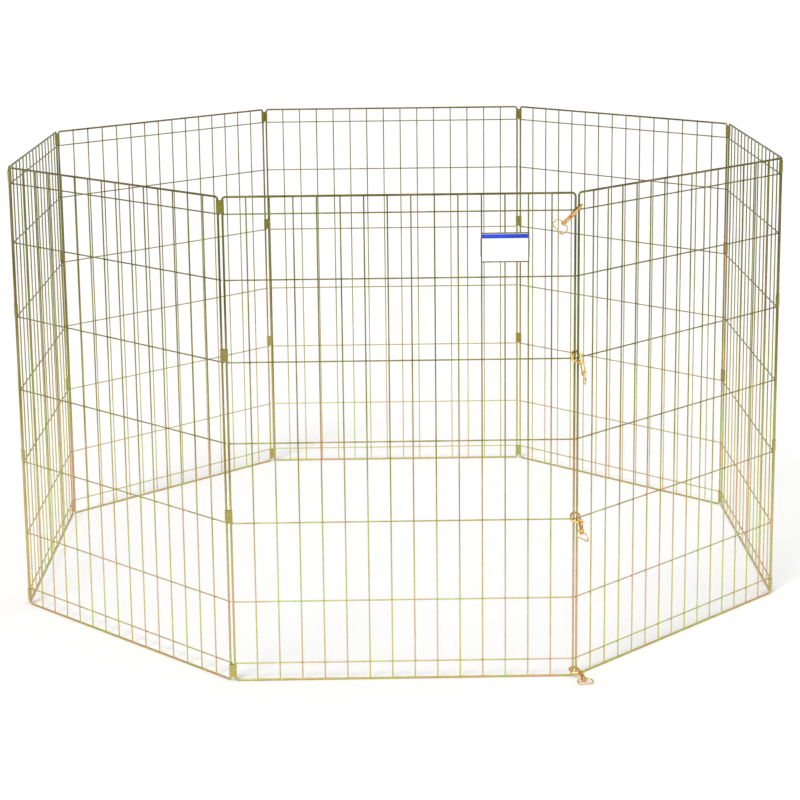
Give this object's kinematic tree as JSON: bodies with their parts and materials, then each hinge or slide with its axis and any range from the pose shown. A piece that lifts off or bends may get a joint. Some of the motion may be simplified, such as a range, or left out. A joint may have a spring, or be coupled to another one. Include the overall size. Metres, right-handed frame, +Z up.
{
  "type": "pet playpen",
  "caption": "Folding octagonal wire pet playpen: welded wire panels joined by sheet clips that hinge on their side rods, closed at one corner by bolt snaps.",
  "frame": {"origin": "middle of the standing octagon, on the floor that its bottom rods rest on", "axes": "+Z up; -Y towards the door panel, so +X is on the right of someone facing the door panel from outside"},
  "size_m": [1.5525, 1.5994, 0.9144],
  "materials": {
    "zinc_rod": "yellow-chromate zinc plate, satin",
    "zinc_wire": "yellow-chromate zinc plate, satin",
    "clip_sheet": "yellow-chromate zinc plate on folded sheet",
    "snap_cast": "brassy yellow chromate on a cast body",
    "snap_turned": "brassy yellow chromate, turned",
    "spring_wire": "bright spring wire",
    "tag_sheet": "yellow-chromate zinc plate on folded sheet",
    "tag_face": "white glossy card with a blue band"
  },
  "bodies": {
    "panel_5": {"panel_5_frame": "zinc_rod", "panel_5_uprights": "zinc_wire", "panel_5_rails": "zinc_wire"},
    "panel_6": {"panel_6_frame": "zinc_rod", "panel_6_uprights": "zinc_wire", "panel_6_rails": "zinc_wire"},
    "panel_7": {"panel_7_frame": "zinc_rod", "panel_7_uprights": "zinc_wire", "panel_7_rails": "zinc_wire"},
    "panel_8": {"panel_8_frame": "zinc_rod", "panel_8_uprights": "zinc_wire", "panel_8_rails": "zinc_wire"},
    "panel_4": {"panel_4_frame": "zinc_rod", "panel_4_uprights": "zinc_wire", "panel_4_rails": "zinc_wire"},
    "panel_3": {"panel_3_frame": "zinc_rod", "panel_3_uprights": "zinc_wire", "panel_3_rails": "zinc_wire"},
    "panel_2": {"panel_2_frame": "zinc_rod", "panel_2_uprights": "zinc_wire", "panel_2_rails": "zinc_wire"},
    "door_panel": {"door_panel_frame": "zinc_rod", "door_panel_uprights": "zinc_wire", "door_panel_rails": "zinc_wire", "tag_holder": "tag_sheet", "tag_card": "tag_face"},
    "hinge_clips_1_2": {"hinge_clips_1_2": "clip_sheet"},
    "hinge_clips_2_3": {"hinge_clips_2_3": "clip_sheet"},
    "hinge_clips_3_4": {"hinge_clips_3_4": "clip_sheet"},
    "hinge_clips_4_5": {"hinge_clips_4_5": "clip_sheet"},
    "hinge_clips_5_6": {"hinge_clips_5_6": "clip_sheet"},
    "hinge_clips_6_7": {"hinge_clips_6_7": "clip_sheet"},
    "hinge_clips_7_8": {"hinge_clips_7_8": "clip_sheet"},
    "top_snap": {"top_snap_hook": "snap_cast", "top_snap_spring": "spring_wire"},
    "top_snap_bolt": {"top_snap_bolt": "snap_turned"},
    "top_snap_eye": {"top_snap_eye": "snap_turned"},
    "upper_snap": {"upper_snap_hook": "snap_cast", "upper_snap_spring": "spring_wire"},
    "upper_snap_bolt": {"upper_snap_bolt": "snap_turned"},
    "upper_snap_eye": {"upper_snap_eye": "snap_turned"},
    "lower_snap": {"lower_snap_hook": "snap_cast", "lower_snap_spring": "spring_wire"},
    "lower_snap_bolt": {"lower_snap_bolt": "snap_turned"},
    "lower_snap_eye": {"lower_snap_eye": "snap_turned"},
    "bottom_snap": {"bottom_snap_hook": "snap_cast", "bottom_snap_spring": "spring_wire"},
    "bottom_snap_bolt": {"bottom_snap_bolt": "snap_turned"},
    "bottom_snap_eye": {"bottom_snap_eye": "snap_turned"}
  },
  "joints": [
    {"name": "clips_5_6_turn", "type": "hinge", "parent": "panel_5", "child": "hinge_clips_5_6", "pos_m": [0.3155, 0.77344, 0.4572], "axis": [0, 0, 1], "range_deg": [0, 108.5]},
    {"name": "panel_6_turn", "type": "hinge", "parent": "hinge_clips_5_6", "child": "panel_6", "pos_m": [0.32382, 0.77, 0.4572], "axis": [0, 0, 1], "range_deg": [0, 108.5]},
    {"name": "clips_6_7_turn", "type": "hinge", "parent": "panel_6", "child": "hinge_clips_6_7", "pos_m": [0.77, 0.32382, 0.4572], "axis": [0, 0, -1], "range_deg": [0, 63.5]},
    {"name": "panel_7_turn", "type": "hinge", "parent": "hinge_clips_6_7", "child": "panel_7", "pos_m": [0.77344, 0.3155, 0.4572], "axis": [0, 0, -1], "range_deg": [0, 63.5]},
    {"name": "clips_7_8_turn", "type": "hinge", "parent": "panel_7", "child": "hinge_clips_7_8", "pos_m": [0.77344, -0.3155, 0.4572], "axis": [0, 0, 1], "range_deg": [0, 108.5]},
    {"name": "panel_8_turn", "type": "hinge", "parent": "hinge_clips_7_8", "child": "panel_8", "pos_m": [0.77, -0.32382, 0.4572], "axis": [0, 0, 1], "range_deg": [0, 108.5]},
    {"name": "clips_4_5_turn", "type": "hinge", "parent": "panel_5", "child": "hinge_clips_4_5", "pos_m": [-0.3155, 0.77344, 0.4572], "axis": [0, 0, -1], "range_deg": [0, 22.5]},
    {"name": "panel_4_turn", "type": "hinge", "parent": "hinge_clips_4_5", "child": "panel_4", "pos_m": [-0.32381, 0.76999, 0.4572], "axis": [0, 0, -1], "range_deg": [0, 22.5]},
    {"name": "clips_3_4_turn", "type": "hinge", "parent": "panel_4", "child": "hinge_clips_3_4", "pos_m": [-0.76946, 0.32328, 0.4572], "axis": [0, 0, -1], "range_deg": [0, 108.5]},
    {"name": "panel_3_turn", "type": "hinge", "parent": "hinge_clips_3_4", "child": "panel_3", "pos_m": [-0.7729, 0.31496, 0.4572], "axis": [0, 0, -1], "range_deg": [0, 108.5]},
    {"name": "clips_2_3_turn", "type": "hinge", "parent": "panel_3", "child": "hinge_clips_2_3", "pos_m": [-0.77214, -0.31604, 0.4572], "axis": [0, 0, 1], "range_deg": [0, 63.5]},
    {"name": "panel_2_turn", "type": "hinge", "parent": "hinge_clips_2_3", "child": "panel_2", "pos_m": [-0.76869, -0.32435, 0.4572], "axis": [0, 0, 1], "range_deg": [0, 63.5]},
    {"name": "door_swing", "type": "hinge", "parent": "panel_2", "child": "hinge_clips_1_2", "pos_m": [-0.32197, -0.77, 0.4572], "axis": [0, 0, -1], "range_deg": [0, 110]},
    {"name": "door_panel_turn", "type": "hinge", "parent": "hinge_clips_1_2", "child": "door_panel", "pos_m": [-0.31365, -0.77344, 0.4572], "axis": [0, 0, -1], "range_deg": [0, 110]},
    {"name": "top_snap_lift", "type": "hinge", "parent": "panel_8", "child": "top_snap", "pos_m": [0.32058, -0.77134, 0.88229], "axis": [-0.0012, 1, 0], "range_deg": [0, 8]},
    {"name": "top_snap_bolt_slide", "type": "slide", "parent": "top_snap", "child": "top_snap_bolt", "axis": [-0.7193, -0.0009, -0.6947], "range_m": [0, 0.0054], "stiffness_N_per_m": 250, "springref_m": -0.003, "deforming": ["top_snap_spring"]},
    {"name": "top_snap_eye_turn", "type": "hinge", "parent": "top_snap", "child": "top_snap_eye", "pos_m": [0.29419, -0.77962, 0.8568], "axis": [0.7193, 0.0009, 0.6947], "range_deg": [-10, 10]},
    {"name": "upper_snap_lift", "type": "hinge", "parent": "panel_8", "child": "upper_snap", "pos_m": [0.32058, -0.77134, 0.61298], "axis": [-0.9831, -0.1828, 0], "range_deg": [0, 50]},
    {"name": "upper_snap_bolt_slide", "type": "slide", "parent": "upper_snap", "child": "upper_snap_bolt", "axis": [0.1126, -0.6053, -0.788], "range_m": [0, 0.0054], "stiffness_N_per_m": 250, "springref_m": -0.003, "deforming": ["upper_snap_spring"]},
    {"name": "upper_snap_eye_turn", "type": "hinge", "parent": "upper_snap", "child": "upper_snap_eye", "pos_m": [0.33291, -0.79253, 0.58343], "axis": [-0.1126, 0.6053, 0.788], "continuous": true},
    {"name": "lower_snap_lift", "type": "hinge", "parent": "panel_8", "child": "lower_snap", "pos_m": [0.32058, -0.77134, 0.30956], "axis": [-0.999, -0.0442, 0], "range_deg": [0, 35]},
    {"name": "lower_snap_bolt_slide", "type": "slide", "parent": "lower_snap", "child": "lower_snap_bolt", "axis": [0.0358, -0.8082, -0.5878], "range_m": [0, 0.0054], "stiffness_N_per_m": 250, "springref_m": -0.003, "deforming": ["lower_snap_spring"]},
    {"name": "lower_snap_eye_turn", "type": "hinge", "parent": "lower_snap", "child": "lower_snap_eye", "pos_m": [0.33017, -0.80128, 0.28752], "axis": [-0.0358, 0.8082, 0.5878], "continuous": true},
    {"name": "bottom_snap_lift", "type": "hinge", "parent": "panel_8", "child": "bottom_snap", "pos_m": [0.32058, -0.77134, 0.0115], "axis": [-0.9798, -0.2, 0], "range_deg": [0, 50]},
    {"name": "bottom_snap_bolt_slide", "type": "slide", "parent": "bottom_snap", "child": "bottom_snap_bolt", "axis": [0.1975, -0.9677, -0.1564], "range_m": [0, 0.0054], "stiffness_N_per_m": 250, "springref_m": -0.003, "deforming": ["bottom_snap_spring"]},
    {"name": "bottom_snap_eye_turn", "type": "hinge", "parent": "bottom_snap", "child": "bottom_snap_eye", "pos_m": [0.33607, -0.80598, 0.00563], "axis": [-0.1975, 0.9677, 0.1564], "range_deg": [-4, 4]}
  ]
}
